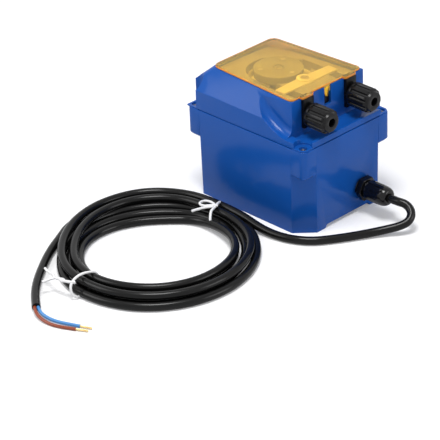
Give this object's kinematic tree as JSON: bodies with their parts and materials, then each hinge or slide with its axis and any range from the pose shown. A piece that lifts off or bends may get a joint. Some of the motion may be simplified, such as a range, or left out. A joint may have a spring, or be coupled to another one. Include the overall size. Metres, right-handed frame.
{
  "type": "peristaltic metering pump",
  "caption": "Wall-mount roller metering pump in a deep plastic housing, with a clear window cover over the roller head, screwed hose ports, a cable gland and a tied cord.",
  "frame": {"origin": "under the middle of the pump's bounding box, leaving out the free cord, on the plane of its wall side", "axes": "+Z from the wall side to the window, -Y towards the hose ports and the cable gland, +X to the right when looking from the port side"},
  "size_m": [0.309, 0.2043, 0.1062],
  "materials": {
    "blue_plastic": "lightly textured moulding",
    "amber_window": "clear amber moulding",
    "white_plastic": "smooth moulding",
    "natural_plastic": "smooth moulding",
    "black_plastic": "satin moulding",
    "black_rubber": "smooth flexible sheath",
    "pump_tube": "smooth extruded tube",
    "steel": "zinc plated",
    "bronze": "sintered",
    "copper_winding": "enamelled wire",
    "ferrite": "ground",
    "brown_insulation": "smooth insulation",
    "blue_insulation": "smooth insulation",
    "copper_strands": "twisted strands",
    "tie_plastic": "plastic coated wire"
  },
  "bodies": {
    "housing": {"rear_housing": "blue_plastic", "front_cover": "blue_plastic", "cover_gasket": "black_rubber", "lid_screws": "steel", "pump_head_insert": "white_plastic", "tube_retainer": "white_plastic", "retainer_screw": "steel", "latch_catch": "black_plastic", "squeeze_tube": "pump_tube", "shaft_seal": "black_rubber", "shaft_bushes": "bronze", "gearbox_base": "natural_plastic", "gearbox_lid": "natural_plastic", "gearbox_screws": "steel", "gear_pin": "steel", "motor_can": "steel", "motor_coil": "copper_winding", "motor_bearing": "bronze", "left_connector": "black_plastic", "right_connector": "black_plastic", "gland_body": "black_plastic", "gland_washer": "black_rubber", "gland_locknut": "black_plastic", "gland_seal": "black_rubber", "inner_cable": "black_rubber", "inner_brown_core": "brown_insulation", "inner_blue_core": "blue_insulation", "terminal_block": "natural_plastic", "terminal_screws": "steel", "motor_brown_lead": "brown_insulation", "motor_blue_lead": "blue_insulation", "cord_lead": "black_rubber", "cord_coil": "black_rubber", "cord_tail": "black_rubber", "brown_core": "brown_insulation", "blue_core": "blue_insulation", "brown_strands": "copper_strands", "blue_strands": "copper_strands", "coil_tie_1": "tie_plastic", "coil_tie_2": "tie_plastic"},
    "rotor": {"roller_carrier": "natural_plastic", "roller_pins": "steel", "output_shaft": "steel", "output_wheel": "natural_plastic", "rotor_screw": "steel"},
    "roller_1": {"roller_1": "white_plastic"},
    "roller_2": {"roller_2": "white_plastic"},
    "roller_3": {"roller_3": "white_plastic"},
    "idler": {"idler_gear": "natural_plastic"},
    "motor_rotor": {"motor_pinion": "natural_plastic", "motor_magnet": "ferrite", "motor_shaft": "steel"},
    "window": {"window_cover": "amber_window"},
    "left_ring": {"left_grip_ring": "black_plastic"},
    "left_nut": {"left_hose_nut": "black_plastic"},
    "right_ring": {"right_grip_ring": "black_plastic"},
    "right_nut": {"right_hose_nut": "black_plastic"},
    "gland_ring": {"gland_clamp_ring": "black_plastic"},
    "gland_cap": {"gland_cap": "black_plastic"}
  },
  "joints": [
    {"name": "rotor_spin", "type": "hinge", "parent": "housing", "child": "rotor", "pos_m": [0, 0.0225, 0.091], "axis": [0, 0, 1], "continuous": true},
    {"name": "idler_spin", "type": "hinge", "parent": "housing", "child": "idler", "pos_m": [-0.0153, 0.006, 0.06], "axis": [0, 0, 1], "continuous": true},
    {"name": "motor_spin", "type": "hinge", "parent": "housing", "child": "motor_rotor", "pos_m": [0, -0.0105, 0.045], "axis": [0, 0, 1], "continuous": true},
    {"name": "window_hinge", "type": "hinge", "parent": "housing", "child": "window", "pos_m": [0, 0.05952, 0.1053], "axis": [-1, 0, 0], "range_deg": [0, 100]},
    {"name": "roller_1_spin", "type": "hinge", "parent": "rotor", "child": "roller_1", "pos_m": [0, 0.0081, 0.091], "axis": [0, 0, 1], "continuous": true},
    {"name": "roller_2_spin", "type": "hinge", "parent": "rotor", "child": "roller_2", "pos_m": [0.01247, 0.0297, 0.091], "axis": [0, 0, 1], "continuous": true},
    {"name": "roller_3_spin", "type": "hinge", "parent": "rotor", "child": "roller_3", "pos_m": [-0.01247, 0.0297, 0.091], "axis": [0, 0, 1], "continuous": true},
    {"name": "left_nut_travel", "type": "slide", "parent": "housing", "child": "left_ring", "axis": [0, -1, 0], "range_m": [0, 0.01201]},
    {"name": "left_nut_turn", "type": "hinge", "parent": "left_ring", "child": "left_nut", "pos_m": [-0.0232, -0.0435, 0.091], "axis": [0, -1, 0], "range_deg": [0, 1440]},
    {"name": "right_nut_travel", "type": "slide", "parent": "housing", "child": "right_ring", "axis": [0, -1, 0], "range_m": [0, 0.01201]},
    {"name": "right_nut_turn", "type": "hinge", "parent": "right_ring", "child": "right_nut", "pos_m": [0.0232, -0.0435, 0.091], "axis": [0, -1, 0], "range_deg": [0, 1440]},
    {"name": "gland_cap_travel", "type": "slide", "parent": "housing", "child": "gland_ring", "axis": [0, -1, 0], "range_m": [0, 0.00451]},
    {"name": "gland_cap_turn", "type": "hinge", "parent": "gland_ring", "child": "gland_cap", "pos_m": [0.0165, -0.0665, 0.0193], "axis": [0, -1, 0], "range_deg": [0, 1080]}
  ],
  "couplings": [
    {"joint": "idler_spin", "follows": "rotor_spin", "ratio": -4},
    {"joint": "motor_spin", "follows": "rotor_spin", "ratio": 16},
    {"joint": "roller_1_spin", "follows": "rotor_spin", "ratio": -3.0571},
    {"joint": "roller_2_spin", "follows": "rotor_spin", "ratio": -3.0571},
    {"joint": "roller_3_spin", "follows": "rotor_spin", "ratio": -3.0571},
    {"joint": "left_nut_travel", "follows": "left_nut_turn", "m_per_rad": 0.00047746},
    {"joint": "right_nut_travel", "follows": "right_nut_turn", "m_per_rad": 0.00047746},
    {"joint": "gland_cap_travel", "follows": "gland_cap_turn", "m_per_rad": 0.00023873}
  ]
}
